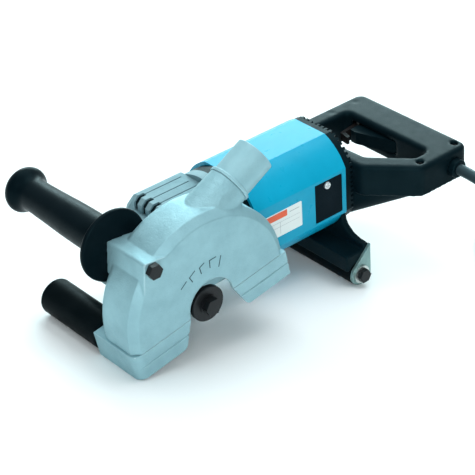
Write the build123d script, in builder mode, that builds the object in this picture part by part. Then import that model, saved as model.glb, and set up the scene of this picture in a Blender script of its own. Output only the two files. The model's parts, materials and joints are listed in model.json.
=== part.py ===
from build123d import *
import os
from math import asin, atan, atan2, cos, degrees, hypot, pi, radians, sin, tan

os.makedirs("parts", exist_ok=True)

# A 150 mm wall chaser: two-roller machine with a cast guard, side grip and rear D-handle.
# The machine is drawn in its own frame, in millimetres: X runs back along the motor axis,
# Y points to the side-grip side, Z is up, and the spindle and motor axes cross at the origin.
# At the end every piece is tipped on to its two rollers, which stand on z = 0.

# ---- driving dimensions -------------------------------------------------------------
guard_face = -100.0          # outer face of the guard and of the clamping flange
guard_back = -52.0           # back wall of the guard
guard_turn = 9.9             # the guard stands turned up at the back by this angle
guard_centre = 4.0           # middle of the guard ahead of or behind the spindle
guard_radius = 86.0
guard_wall = 4.0
wheel_space = 76.5           # radius kept clear for the 150 mm wheels
guard_seam = -3.0            # the shell ends here and the feet begin
foot_height = 26.0
collar_radius = 28.0         # the guard swings on this boss of the bearing box
running = 0.05               # radial play of turning parts
gap = 0.4                    # air between pieces that move past each other

housing_front = 100.0
housing_rear = 211.0
housing_radius = 53.5
housing_width = 96.0
housing_height = 99.0
housing_bore = 46.0
ring_length = 10.0
adapter_length = 12.0
adapter_radius = 50.0

case_front = 20.0            # front of the blower section
case_radius = 35.0           # gear case round the spindle
case_near = -46.0
case_far = 22.0

spindle_radius = 8.5
arbor_radius = 11.1
arbor_near = -95.5
arbor_far = -64.5

pinion_teeth = 12
wheel_teeth = 40
tooth_module = 1.5
tooth_face = 11.0
addendum = 1.2
dedendum = 1.7
tooth_half = 0.95

grip_x = -55.2
grip_z = 61.5
grip_near = -49.0
grip_end = 88.0
grip_bore = 4.0

front_roller_x = -64.0
front_roller_z = -28.0
front_roller_radius = 17.0
front_roller_near = -41.0
front_roller_far = 40.0
rear_roller_x = 197.8
rear_roller_z = -72.9
rear_roller_radius = 12.0
rear_ear_near = -80.0
rear_ear_far = 48.0
ear_thickness = 2.5

handle_top = 25.0
handle_bottom = -7.0
handle_split = 9.0
handle_far = 46.0
handle_near = -100.0
handle_rear = 321.0
handle_wall = 3.0
bar_front = 286.0

nozzle_angle = 29.0          # dust nozzle above the motor axis
nozzle_x = 49.0
nozzle_z = 88.0
nozzle_y = -76.0
nozzle_length = 36.0
nozzle_outside = 18.0
nozzle_inside = 15.5

gland_x = 302.0
gland_z = 8.0
cord_radius = 5.5
core_radius = 4.0            # the bundle of conductors inside the sheath


def side(y):
    """Plane square to the spindle, drawn in X and Z; a positive extrusion runs to -Y."""
    return Plane.XZ.offset(-y)


def across(x):
    """Plane square to the motor axis, drawn in Y and Z; a positive extrusion runs to +X."""
    return Plane.YZ.offset(x)


def guard_side(y):
    """Like side(), but turned with the guard."""
    turn = radians(guard_turn)
    return Plane((0, y, 0), x_dir=(cos(turn), 0, sin(turn)), z_dir=(0, -1, 0))


def along(x, y, z, direction):
    """Plane at a point with its normal along a direction, for round pieces."""
    return Plane((x, y, z), z_dir=direction)


# ---- motor ------------------------------------------------------------------------------
panel_x = 189.0
panel_width = 34.0
panel_height = 41.0
panel_depth = 1.6
brush_x = 187.0


def housing_section(inset=0.0):
    """The motor's squared-off round section, added to the sketch in hand."""
    Circle(housing_radius - inset)
    Rectangle(housing_width - 2 * inset, housing_height - 2 * inset, mode=Mode.INTERSECT)


with BuildPart() as motor_housing:
    with BuildSketch(across(housing_front)):
        housing_section()
    extrude(amount=housing_rear - housing_front)
    fillet(motor_housing.edges().filter_by(Axis.X), 2.5)
    with BuildSketch(across(housing_front)):
        Circle(housing_bore)
    extrude(amount=housing_rear - housing_front, mode=Mode.SUBTRACT)
    for face_y in (-housing_width / 2, housing_width / 2):
        with Locations((panel_x, face_y, 0)):
            Box(panel_width, 2 * panel_depth, panel_height, mode=Mode.SUBTRACT)
    with Locations((brush_x, 0, 0)):
        Box(10.2, 2 * housing_radius, 16.2, mode=Mode.SUBTRACT)

with BuildPart() as brush_cover_near:
    with BuildSketch(side(-housing_width / 2 + panel_depth)):
        with Locations((panel_x, 0)):
            RectangleRounded(panel_width - 0.4, panel_height - 0.4, 2)
    extrude(amount=panel_depth)

with BuildPart() as brush_cover_far:
    with BuildSketch(side(housing_width / 2)):
        with Locations((panel_x, 0)):
            RectangleRounded(panel_width - 0.4, panel_height - 0.4, 2)
    extrude(amount=panel_depth)

cover_screw_z = 15.6
with BuildPart() as brush_cover_screws:
    for outward, start in ((1, -housing_width / 2), (-1, housing_width / 2)):
        with BuildSketch(side(start)):
            with Locations((brush_x, cover_screw_z)):
                Circle(3.6)
        extrude(amount=outward * 1.8)
        fillet(brush_cover_screws.faces().sort_by(Axis.Y)[0 if outward > 0 else -1].edges(), 0.8)
        with Locations((brush_x, start - outward * 1.8, cover_screw_z)):
            Box(5.2, 1.6, 1.0, mode=Mode.SUBTRACT)
            Box(1.0, 1.6, 5.2, mode=Mode.SUBTRACT)

plate_thickness = 0.4
with BuildPart() as rating_plate:
    with BuildSketch(side(-housing_width / 2)):
        with Locations((132, 0)):
            RectangleRounded(46, 26, 1)
    extrude(amount=plate_thickness)

stator_bore = 26.5
with BuildPart() as stator:
    with BuildSketch(across(108)):
        Circle(housing_bore)
        Circle(stator_bore, mode=Mode.SUBTRACT)
        with PolarLocations(37, 2):
            Rectangle(6, 30, mode=Mode.SUBTRACT)
    extrude(amount=62)

commutator_radius = 17.0
with BuildPart() as brush_holders:
    for far in (-1, 1):
        with Locations((brush_x, far * 32, 0)):
            Box(10, 26, 16)
            Box(7.2, 26, 13.2, mode=Mode.SUBTRACT)

with BuildPart() as carbon_brushes:
    for far in (-1, 1):
        with Locations((brush_x, far * (commutator_radius + running + 8), 0)):
            Box(7, 16, 13)

with BuildPart() as brush_springs:
    for far in (-1, 1):
        with BuildSketch(side(far * 33.3 if far < 0 else 44.5)):
            with Locations((brush_x, 0)):
                Circle(2.8)
                Circle(1.8, mode=Mode.SUBTRACT)
        extrude(amount=11.2)

# ---- armature -------------------------------------------------------------------------
shaft_radius = 6.0
pinion_seat = 3.5
with BuildPart() as armature_shaft:
    with BuildSketch(across(31)):
        Circle(shaft_radius)
    extrude(amount=191)
    with BuildSketch(across(18)):
        Circle(pinion_seat)
    extrude(amount=13)

with BuildPart() as armature_core:
    with BuildSketch(across(112)):
        Circle(stator_bore - 1)
        Circle(shaft_radius, mode=Mode.SUBTRACT)
        with PolarLocations(22, 12):
            Rectangle(7.5, 2.4, mode=Mode.SUBTRACT)
    extrude(amount=53)

with BuildPart() as armature_windings:
    for start in (100, 165):
        with BuildSketch(across(start)):
            Circle(22)
            Circle(shaft_radius, mode=Mode.SUBTRACT)
        extrude(amount=12)

with BuildPart() as commutator:
    with BuildSketch(across(178)):
        Circle(commutator_radius)
        Circle(shaft_radius, mode=Mode.SUBTRACT)
        with PolarLocations(commutator_radius, 24):
            Rectangle(1.6, 0.7, mode=Mode.SUBTRACT)
    extrude(amount=18)

fan_radius = 37.0
with BuildPart() as cooling_fan:
    with BuildSketch(across(56)):
        Circle(fan_radius)
        Circle(shaft_radius, mode=Mode.SUBTRACT)
    extrude(amount=2.5)
    with BuildSketch(across(58.5)):
        with PolarLocations(25, 14):
            Rectangle(20, 2)
        Circle(12)
        Circle(shaft_radius, mode=Mode.SUBTRACT)
    extrude(amount=12)


def ball_bearing(x_start, width, bore, outside):
    """A sealed ball bearing on the motor axis, added to the part in hand."""
    with BuildSketch(across(x_start)) as ring:
        Circle(outside)
        Circle(bore, mode=Mode.SUBTRACT)
    extrude(ring.sketch, amount=width)


with BuildPart() as armature_bearing_front:
    ball_bearing(32, 10, shaft_radius + running, 16)

with BuildPart() as armature_bearing_rear:
    ball_bearing(213, 9, shaft_radius + running, 11)

# ---- bevel gears ------------------------------------------------------------------------
wheel_pitch = tooth_module * wheel_teeth / 2
pinion_pitch = tooth_module * pinion_teeth / 2
cone_distance = hypot(wheel_pitch, pinion_pitch)
inner_scale = (cone_distance - tooth_face) / cone_distance
flank = 0.27                 # tooth flank slope


def tooth_face_at(frame, half_angle, scale):
    """One tooth's cross-section at a distance from the cone's apex, as a face."""
    reach = cone_distance * scale
    foot_r, foot_z = reach * sin(half_angle), reach * cos(half_angle)
    normal_r, normal_z = cos(half_angle), -sin(half_angle)
    corners = []
    for height, sign in ((addendum, -1), (addendum, 1), (-dedendum - 0.6, 1), (-dedendum - 0.6, -1)):
        half = (tooth_half - flank * height) * scale * sign
        point = (foot_r + normal_r * height * scale, half, foot_z + normal_z * height * scale)
        corners.append(frame.from_local_coords(Vector(*point)))
    return Face(Wire.make_polygon(corners, close=True))


def bevel_teeth(axis_plane, teeth, half_angle, first):
    """All teeth of a bevel gear, added to the part in hand."""
    for index in range(teeth):
        turn = Location((0, 0, 0), (0, 0, first + index * 360 / teeth))
        frame = Plane(axis_plane.location * turn)
        ends = [tooth_face_at(frame, half_angle, scale) for scale in (inner_scale, 1.0)]
        add(Solid.make_loft([end.outer_wire() for end in ends], ruled=True))


def root_point(half_angle, scale):
    """Radius and height of the root cone at a scale of the cone distance."""
    reach = cone_distance * scale
    return (
        reach * sin(half_angle) - cos(half_angle) * dedendum * scale,
        reach * cos(half_angle) + sin(half_angle) * dedendum * scale,
    )


pinion_angle = atan2(pinion_teeth, wheel_teeth)
wheel_angle = pi / 2 - pinion_angle
pinion_plane = Plane((0, 0, 0), x_dir=(0, -1, 0), z_dir=(1, 0, 0))
wheel_plane = Plane((0, 0, 0), x_dir=(1, 0, 0), z_dir=(0, -1, 0))

with BuildPart() as pinion:
    small_r, small_z = root_point(pinion_angle, inner_scale)
    large_r, large_z = root_point(pinion_angle, 1.0)
    with BuildSketch(Plane.XY):
        with BuildLine():
            Polyline(
                (small_z, pinion_seat),
                (small_z, small_r),
                (large_z, large_r),
                (31, large_r),
                (31, pinion_seat),
                close=True,
            )
        make_face()
    revolve(axis=Axis.X)
    bevel_teeth(pinion_plane, pinion_teeth, pinion_angle, 0)
    with BuildSketch(across(10)):
        Circle(pinion_seat)
    extrude(amount=30, mode=Mode.SUBTRACT)

lock_hole_radius = 3.5
lock_x = -16.0
hub_back = -24.0
with BuildPart() as bevel_gear:
    inner_r, inner_z = root_point(wheel_angle, inner_scale)
    outer_r, outer_z = root_point(wheel_angle, 1.0)
    with BuildSketch(Plane.XY):
        with BuildLine():
            Polyline(
                (spindle_radius, -inner_z - 1),
                (inner_r - 1.5, -inner_z - 1),
                (inner_r, -inner_z),
                (outer_r, -outer_z),
                (outer_r, -outer_z - 4),
                (16, -outer_z - 6),
                (16, hub_back),
                (spindle_radius, hub_back),
                close=True,
            )
        make_face()
    revolve(axis=Axis.Y)
    bevel_teeth(wheel_plane, wheel_teeth, wheel_angle, 180 / wheel_teeth)
    with BuildSketch(side(0)):
        with Locations((lock_x, 0), (-lock_x, 0), (0, lock_x), (0, -lock_x)):
            Circle(lock_hole_radius)
    extrude(amount=26, mode=Mode.SUBTRACT)

# ---- spindle, flanges and bearings -----------------------------------------------------
bush_near = 8.0
bush_far = 18.0
top_journal = 6.0
thread_radius = 5.0
with BuildPart() as spindle:
    for start, end, radius in (
        (bush_far, -4.0, top_journal),
        (-4.0, -60.0, spindle_radius),
        (-60.0, arbor_near + 0.5, arbor_radius),
    ):
        with BuildSketch(side(start)):
            Circle(radius)
        extrude(amount=start - end)
    with BuildSketch(side(arbor_near + 25)):
        Circle(thread_radius)
    extrude(amount=30, mode=Mode.SUBTRACT)
    with BuildSketch(side(-59)):
        Circle(16)
        Circle(arbor_radius - 1, mode=Mode.SUBTRACT)
    extrude(amount=1, mode=Mode.ADD)

with BuildPart() as inner_flange:
    with BuildSketch(side(-60)):
        Circle(20.5)
        Circle(arbor_radius, mode=Mode.SUBTRACT)
    extrude(amount=4.5)
    with BuildSketch(side(-64.5)):
        Circle(15)
    extrude(amount=-1.2, mode=Mode.SUBTRACT)
    with BuildSketch(side(-60)):
        Circle(14)
        Circle(arbor_radius, mode=Mode.SUBTRACT)
    extrude(amount=4.5)

with BuildPart() as outer_flange:
    with BuildSketch(side(arbor_near)):
        Circle(16.8)
        Circle(thread_radius, mode=Mode.SUBTRACT)
    extrude(amount=4.5)
    fillet(outer_flange.faces().sort_by(Axis.Y)[0].edges().sort_by(SortBy.LENGTH)[-1:], 1.0)

with BuildPart() as clamp_bolt:
    with BuildSketch(side(guard_face)):
        Circle(9.2)
    extrude(amount=1.4)
    with BuildSketch(side(guard_face - 1.4)):
        RegularPolygon(7.2, 6, major_radius=False)
    extrude(amount=6.2)
    with BuildSketch(side(guard_face)):
        Circle(thread_radius)
    extrude(amount=-28)

with BuildPart() as spindle_bearing:
    with BuildSketch(side(-46)):
        Circle(20)
        Circle(spindle_radius + running, mode=Mode.SUBTRACT)
    extrude(amount=12)

with BuildPart() as spindle_bush:
    with BuildSketch(side(bush_far)):
        Circle(9.5)
        Circle(top_journal + running, mode=Mode.SUBTRACT)
    extrude(amount=bush_far - bush_near)

box_screw_circle = 31.4
box_screw_radius = 2.0
with BuildPart() as bearing_box:
    with BuildSketch(side(case_near)):
        Circle(case_radius)
        Circle(20, mode=Mode.SUBTRACT)
        with PolarLocations(box_screw_circle, 4, start_angle=45):
            Circle(box_screw_radius, mode=Mode.SUBTRACT)
    extrude(amount=5)
    with BuildSketch(side(case_near - 5)):
        Circle(collar_radius - running)
        Circle(20, mode=Mode.SUBTRACT)
    extrude(amount=7)
    with BuildSketch(side(-58)):
        Circle(collar_radius - running)
        Circle(16 + gap, mode=Mode.SUBTRACT)
    extrude(amount=1)

with BuildPart() as bearing_box_screws:
    with BuildSketch(side(case_near - 5)):
        with PolarLocations(box_screw_circle, 4, start_angle=45):
            Circle(3.3)
            RegularPolygon(1.5, 6, mode=Mode.SUBTRACT)
    extrude(amount=0.6)
    with BuildSketch(side(case_near - 5)):
        with PolarLocations(box_screw_circle, 4, start_angle=45):
            Circle(box_screw_radius)
    extrude(amount=-17)

# ---- gear housing ------------------------------------------------------------------------
block_rear = 78.0
block_top = 44.5
vent_pitch = 11.0
vent_width = 5.0
with BuildPart() as gear_housing:
    with BuildSketch(across(case_front)):
        with BuildLine():
            corners = [(30, block_top), (44, 26), (44, -26), (30, -block_top)]
            mirrored = [(-y, z) for y, z in reversed(corners)]
            Polyline(*corners, *mirrored, close=True)
        make_face()
    extrude(amount=block_rear - case_front)
    fillet(gear_housing.edges().filter_by(Axis.X), 7)
    top_front = gear_housing.faces().sort_by(Axis.X)[0].edges().sort_by(Axis.Z)[-1]
    chamfer(top_front, 5)
    with BuildSketch(across(block_rear)):
        Circle(adapter_radius)
    extrude(amount=housing_front - adapter_length - block_rear)
    with BuildSketch(side(case_far)):
        Circle(case_radius)
        with Locations((15, 0)):
            Rectangle(30, 2 * case_radius - 6)
    extrude(amount=case_far - case_near)
    # gear space, open towards the bearing box
    with BuildSketch(side(8)):
        Circle(31.6)
    extrude(amount=8 - case_near, mode=Mode.SUBTRACT)
    with BuildSketch(side(bush_far)):
        Circle(9.5)
    extrude(amount=12, mode=Mode.SUBTRACT)
    # front armature bearing and the fan space behind it
    with BuildSketch(across(18)):
        Circle(12.5)
    extrude(amount=15, mode=Mode.SUBTRACT)
    with BuildSketch(across(32)):
        Circle(16)
    extrude(amount=12, mode=Mode.SUBTRACT)
    with BuildSketch(across(44)):
        Circle(41)
    extrude(amount=50, mode=Mode.SUBTRACT)
    # bearing box screw holes
    with BuildSketch(side(case_near)):
        with PolarLocations(box_screw_circle, 4, start_angle=45):
            Circle(box_screw_radius)
    extrude(amount=-12.2, mode=Mode.SUBTRACT)
    # five air outlets over the front edge, each with a groove running back
    for index in range(-2, 3):
        vent_y = index * vent_pitch
        with BuildSketch(side(vent_y + vent_width / 2)):
            with BuildLine():
                Polyline(
                    (case_front - 1, block_top - 13),
                    (case_front - 1, block_top - 4.2),
                    (case_front + 5.3, block_top + 1),
                    (case_front + 11, block_top + 1),
                    (case_front + 11, block_top - 4),
                    (case_front + 24, block_top - 4.5),
                    (case_front + 24, block_top - 13),
                    close=True,
                )
            make_face()
        extrude(amount=vent_width, mode=Mode.SUBTRACT)
        with Locations((case_front + 31, vent_y, block_top)):
            Box(44, 1.2, 1.6, mode=Mode.SUBTRACT)
    # shaft lock guide
    with BuildSketch(side(case_far)):
        with Locations((lock_x, 0)):
            Circle(3 + running)
    extrude(amount=30, mode=Mode.SUBTRACT)

button_near = case_far + 6.2
button_far = case_far + 15
button_radius = 7.5
button_bore = 5.8
lock_pin_end = -4.0
with BuildPart() as shaft_lock:
    with BuildSketch(side(button_far)):
        with Locations((lock_x, 0)):
            Circle(button_radius)
    extrude(amount=button_far - button_near)
    fillet(shaft_lock.faces().sort_by(Axis.Y)[-1].edges(), 1.2)
    with BuildSketch(side(button_far - 2)):
        with Locations((lock_x, 0)):
            Circle(button_bore)
    extrude(amount=10, mode=Mode.SUBTRACT)
    with BuildSketch(side(button_far - 1.5)):
        with Locations((lock_x, 0)):
            Circle(3)
    extrude(amount=button_far - 1.5 - lock_pin_end)

with BuildPart() as shaft_lock_spring:
    with BuildSketch(side(case_far + 6.9)):
        with Locations((lock_x, 0)):
            Circle(5.4)
            Circle(4, mode=Mode.SUBTRACT)
    extrude(amount=6.9)

with BuildPart() as adapter_ring:
    with BuildSketch(across(housing_front - adapter_length)):
        Circle(adapter_radius)
        Circle(43, mode=Mode.SUBTRACT)
    extrude(amount=adapter_length)

# ---- guard --------------------------------------------------------------------------------
guard_front = guard_centre - guard_radius
guard_heel = guard_centre + guard_radius
notch_top = 22.0
notch_half = 24.0
notch_foot_half = 36.0


def guard_outline(inset, bottom):
    """Round-topped outline of the guard in its own frame, added to the sketch in hand."""
    radius = guard_radius - inset
    with BuildLine() as outline:
        Polyline(
            (guard_centre - radius, 0),
            (guard_centre - radius, bottom),
            (guard_centre + radius, bottom),
            (guard_centre + radius, 0),
        )
        RadiusArc((guard_centre - radius, 0), (guard_centre + radius, 0), radius)
    make_face(outline.edges())


def notch_outline(depth):
    """Opening in the near wall round the clamping flange, widening downwards."""
    slope = (notch_foot_half - notch_half) / 30
    reach = notch_half + slope * depth
    with BuildLine() as outline:
        arc_foot = notch_top - notch_half
        RadiusArc((guard_centre - notch_half, arc_foot), (guard_centre + notch_half, arc_foot), notch_half)
        Polyline(
            (guard_centre + notch_half, arc_foot),
            (guard_centre + reach, -depth),
            (guard_centre - reach, -depth),
            (guard_centre - notch_half, arc_foot),
        )
    make_face(outline.edges())


nozzle_turn = radians(nozzle_angle)
nozzle_direction = (cos(nozzle_turn), 0, sin(nozzle_turn))
duct_length = 90.0
lug_front = 8.5
lug_back = 26.0
lug_top = 7.5
lug_depth = 24.0


def rim_of(solid, side_index):
    """Edges of the nearest (0) or farthest (-1) side face, without its bottom edge."""
    rim = solid.faces().sort_by(Axis.Y)[side_index].edges()
    longest_line = rim.filter_by(GeomType.LINE).sort_by(SortBy.LENGTH)[-1]
    return rim.filter_by(lambda edge: abs(edge.length - longest_line.length) > 1)


def lug_outline():
    """Section of the block that the side grip is bolted to, added to the sketch in hand."""
    turn = radians(-5)
    middle_x = (lug_back - lug_front) / 2
    middle_z = (lug_top - lug_depth) / 2
    place = (
        grip_x + middle_x * cos(turn) - middle_z * sin(turn),
        grip_z + middle_x * sin(turn) + middle_z * cos(turn),
    )
    with Locations(place):
        RectangleRounded(lug_front + lug_back, lug_top + lug_depth, 2.5, rotation=-5)


with BuildPart() as guard_hollow:
    with BuildSketch(guard_side(guard_face + guard_wall)):
        guard_outline(guard_wall, guard_seam - 1)
    extrude(amount=guard_face - guard_back + 2 * guard_wall)
    chamfer(rim_of(guard_hollow, 0), 5)
    fillet(rim_of(guard_hollow, -1), 6)

with BuildPart() as guard_shell:
    with BuildSketch(guard_side(guard_face)):
        guard_outline(0, guard_seam)
    extrude(amount=guard_face - guard_back)
    chamfer(rim_of(guard_shell, 0), 7)
    fillet(rim_of(guard_shell, -1), 10)
    # dust duct, a cone that leaves the top of the guard towards the rear
    duct_start = (
        nozzle_x - duct_length * nozzle_direction[0],
        nozzle_y,
        nozzle_z - duct_length * nozzle_direction[2],
    )
    with BuildSketch(along(*duct_start, nozzle_direction)):
        Circle(23)
    with BuildSketch(along(nozzle_x, nozzle_y, nozzle_z, nozzle_direction)):
        Circle(nozzle_outside + 1)
    loft()
    # lug for the side grip
    with BuildSketch(side(guard_face)):
        lug_outline()
    extrude(amount=guard_face - grip_near)
    # hollow for the cutting wheels
    add(guard_hollow.part, mode=Mode.SUBTRACT)
    with BuildSketch(along(*duct_start, nozzle_direction)):
        Circle(19)
    with BuildSketch(along(nozzle_x, nozzle_y, nozzle_z, nozzle_direction)):
        Circle(nozzle_inside)
    loft(mode=Mode.SUBTRACT)
    with BuildSketch(side(guard_face)):
        lug_outline()
    extrude(amount=guard_face - grip_near)
    with BuildSketch(side(guard_face + guard_wall)):
        Circle(wheel_space)
    extrude(amount=guard_face - guard_back + 2 * guard_wall, mode=Mode.SUBTRACT)
    with BuildSketch(side(guard_face)):
        with Locations((grip_x, grip_z)):
            Circle(grip_bore)
    extrude(amount=guard_face - grip_near, mode=Mode.SUBTRACT)
    # notch round the clamping flange and the collar for the bearing box
    with BuildSketch(guard_side(guard_face - 1)):
        notch_outline(4)
    extrude(amount=-guard_wall - 2, mode=Mode.SUBTRACT)
    with BuildSketch(side(guard_back - guard_wall - 1)):
        Circle(collar_radius)
    extrude(amount=-guard_wall - 2, mode=Mode.SUBTRACT)

foot_top = guard_seam
foot_base = guard_seam - foot_height
foot_proud = 2.0


def foot_block(front, rear, far):
    """A foot's hollow block between two stations, added to the part in hand."""
    with BuildSketch(guard_side(guard_face)) as block:
        with Locations(((front + rear) / 2, (foot_top + foot_base) / 2)):
            Rectangle(rear - front, foot_height)
    extrude(block.sketch, amount=guard_face - far)


def foot_line():
    """Shallow groove along the near side of a foot."""
    with BuildSketch(guard_side(guard_face)) as groove:
        with Locations((guard_centre, foot_base + 13)):
            Rectangle(3 * guard_radius, 1.6)
    extrude(groove.sketch, amount=-1.2, mode=Mode.SUBTRACT)


def round_foot(foot, corners):
    """Rounds a foot's corners, each given in the guard's frame with its radius."""
    for x, y, z, radius in corners:
        turn = radians(guard_turn)
        spot = Vector(x * cos(turn) - z * sin(turn), y, x * sin(turn) + z * cos(turn))
        edge = foot.edges().filter_by(GeomType.LINE).sort_by_distance(spot)[0]
        fillet(edge, radius)


with BuildPart() as front_foot:
    foot_block(guard_front - foot_proud, guard_centre - 20, guard_back)
    foot_block(guard_front - foot_proud, guard_front + 37, front_roller_near - 1)
    with BuildSketch(guard_side(guard_face + guard_wall)):
        with Locations((guard_centre, (foot_top + foot_base) / 2)):
            Rectangle(2 * (guard_radius - guard_wall), 2 * foot_height)
    extrude(amount=guard_face - guard_back + 2 * guard_wall, mode=Mode.SUBTRACT)
    with BuildSketch(guard_side(guard_face - 1)):
        notch_outline(31)
    extrude(amount=-guard_wall - 2, mode=Mode.SUBTRACT)
    with BuildSketch(side(guard_back - guard_wall - 1)):
        Circle(collar_radius + gap)
    extrude(amount=-30, mode=Mode.SUBTRACT)
    with BuildSketch(side(guard_back - 10)):
        with Locations((front_roller_x, front_roller_z)):
            Circle(5)
    extrude(amount=-30, mode=Mode.SUBTRACT)
    reach = notch_foot_half - notch_half
    notch_corner = notch_half + reach / 30 * -foot_base
    round_foot(
        front_foot,
        (
            (guard_centre - notch_corner, guard_face + 2, foot_base, 7),
            (guard_front - foot_proud, guard_face, foot_base + 12, 5),
        ),
    )
    foot_line()

with BuildPart() as rear_foot:
    foot_block(guard_centre + 20, guard_heel, guard_back)
    with BuildSketch(guard_side(guard_face + guard_wall)):
        with Locations((guard_centre, (foot_top + foot_base) / 2)):
            Rectangle(2 * (guard_radius - guard_wall), 2 * foot_height)
    extrude(amount=guard_face - guard_back + 2 * guard_wall, mode=Mode.SUBTRACT)
    with BuildSketch(guard_side(guard_face - 1)):
        notch_outline(31)
    extrude(amount=-guard_wall - 2, mode=Mode.SUBTRACT)
    with BuildSketch(side(guard_back - guard_wall - 1)):
        Circle(collar_radius + gap)
    extrude(amount=-30, mode=Mode.SUBTRACT)
    round_foot(
        rear_foot,
        (
            (guard_centre + notch_corner, guard_face + 2, foot_base, 6),
        ),
    )
    foot_line()

with BuildPart() as dust_nozzle:
    with BuildSketch(along(nozzle_x, nozzle_y, nozzle_z, nozzle_direction)):
        Circle(nozzle_outside)
        Circle(nozzle_inside, mode=Mode.SUBTRACT)
    extrude(amount=nozzle_length)
    with BuildSketch(along(nozzle_x, nozzle_y, nozzle_z, nozzle_direction)):
        Circle(nozzle_outside + 2)
        Circle(nozzle_inside, mode=Mode.SUBTRACT)
    extrude(amount=3)

# ---- side grip -----------------------------------------------------------------------------
with BuildPart() as grip_flange:
    with BuildSketch(side(grip_near)):
        with Locations((grip_x, grip_z)):
            Circle(33.5)
            Circle(grip_bore, mode=Mode.SUBTRACT)
    extrude(amount=-5)
    fillet(grip_flange.edges().filter_by(lambda edge: edge.length > 150), 2)

with BuildPart() as side_grip:
    with BuildSketch(Plane.XY.offset(grip_z)):
        with BuildLine():
            start = (grip_x, grip_near + 5)
            Line(start, (grip_x + 17.5, grip_near + 5))
            Spline(
                (grip_x + 17.5, grip_near + 5),
                (grip_x + 17, 10),
                (grip_x + 15.2, 66),
                tangents=((0, 1), (0, 1)),
            )
            Spline(
                (grip_x + 15.2, 66),
                (grip_x + 17.5, 73),
                (grip_x + 21.2, 79.5),
                (grip_x + 19.5, 85.5),
                (grip_x + 12, grip_end),
                tangents=((0, 1), (-1, 0)),
            )
            Line((grip_x + 12, grip_end), (grip_x, grip_end))
            Line((grip_x, grip_end), start)
        make_face()
    revolve(axis=Axis((grip_x, 0, grip_z), (0, 1, 0)))
    with BuildSketch(side(grip_near + 5)):
        with Locations((grip_x, grip_z)):
            Circle(grip_bore)
    extrude(amount=-45, mode=Mode.SUBTRACT)

with BuildPart() as grip_bolt:
    with BuildSketch(side(guard_face)):
        with Locations((grip_x, grip_z)):
            RegularPolygon(6.3, 6, major_radius=False)
    extrude(amount=5.5)
    with BuildSketch(side(guard_face)):
        with Locations((grip_x, grip_z)):
            Circle(grip_bore)
    extrude(amount=guard_face - grip_near - 49)

# ---- rollers ---------------------------------------------------------------------------------
axle_radius = 5.0
with BuildPart() as front_roller:
    with BuildSketch(side(front_roller_far)):
        with Locations((front_roller_x, front_roller_z)):
            Circle(front_roller_radius)
    extrude(amount=front_roller_far - front_roller_near)
    fillet(front_roller.edges().filter_by(GeomType.CIRCLE), 2)
    with BuildSketch(side(front_roller_far)):
        with Locations((front_roller_x, front_roller_z)):
            Circle(axle_radius + running)
    extrude(amount=front_roller_far - front_roller_near, mode=Mode.SUBTRACT)
    with BuildSketch(side(front_roller_far)):
        with Locations((front_roller_x, front_roller_z)):
            Circle(9)
    extrude(amount=6, mode=Mode.SUBTRACT)

with BuildPart() as front_roller_axle:
    with BuildSketch(side(front_roller_far - 1.5)):
        with Locations((front_roller_x, front_roller_z)):
            Circle(axle_radius)
    extrude(amount=front_roller_far - 1.5 - front_roller_near + 9)
    with BuildSketch(side(front_roller_far - 1.5)):
        with Locations((front_roller_x, front_roller_z)):
            Circle(8)
    extrude(amount=4)

with BuildPart() as rear_roller:
    with BuildSketch(side(rear_ear_far - gap)):
        with Locations((rear_roller_x, rear_roller_z)):
            Circle(rear_roller_radius)
            Circle(axle_radius + running, mode=Mode.SUBTRACT)
    extrude(amount=rear_ear_far - rear_ear_near - ear_thickness - 2 * gap)

with BuildPart() as rear_axle_bolt:
    with BuildSketch(side(rear_ear_far + ear_thickness + 9)):
        with Locations((rear_roller_x, rear_roller_z)):
            Circle(axle_radius)
    extrude(amount=rear_ear_far + ear_thickness + 9 - rear_ear_near + 2)
    with BuildSketch(side(rear_ear_near - 2)):
        with Locations((rear_roller_x, rear_roller_z)):
            RegularPolygon(6, 6, major_radius=False)
    extrude(amount=5)

with BuildPart() as rear_axle_washers:
    for washer_start in (rear_ear_near, rear_ear_far + ear_thickness + 2):
        with BuildSketch(side(washer_start)):
            with Locations((rear_roller_x, rear_roller_z)):
                Circle(9)
                Circle(axle_radius, mode=Mode.SUBTRACT)
        extrude(amount=2)

with BuildPart() as rear_axle_nut:
    with BuildSketch(side(rear_ear_far + ear_thickness + 8)):
        with Locations((rear_roller_x, rear_roller_z)):
            RegularPolygon(6.5, 6, major_radius=False)
            Circle(axle_radius, mode=Mode.SUBTRACT)
    extrude(amount=6)

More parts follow.
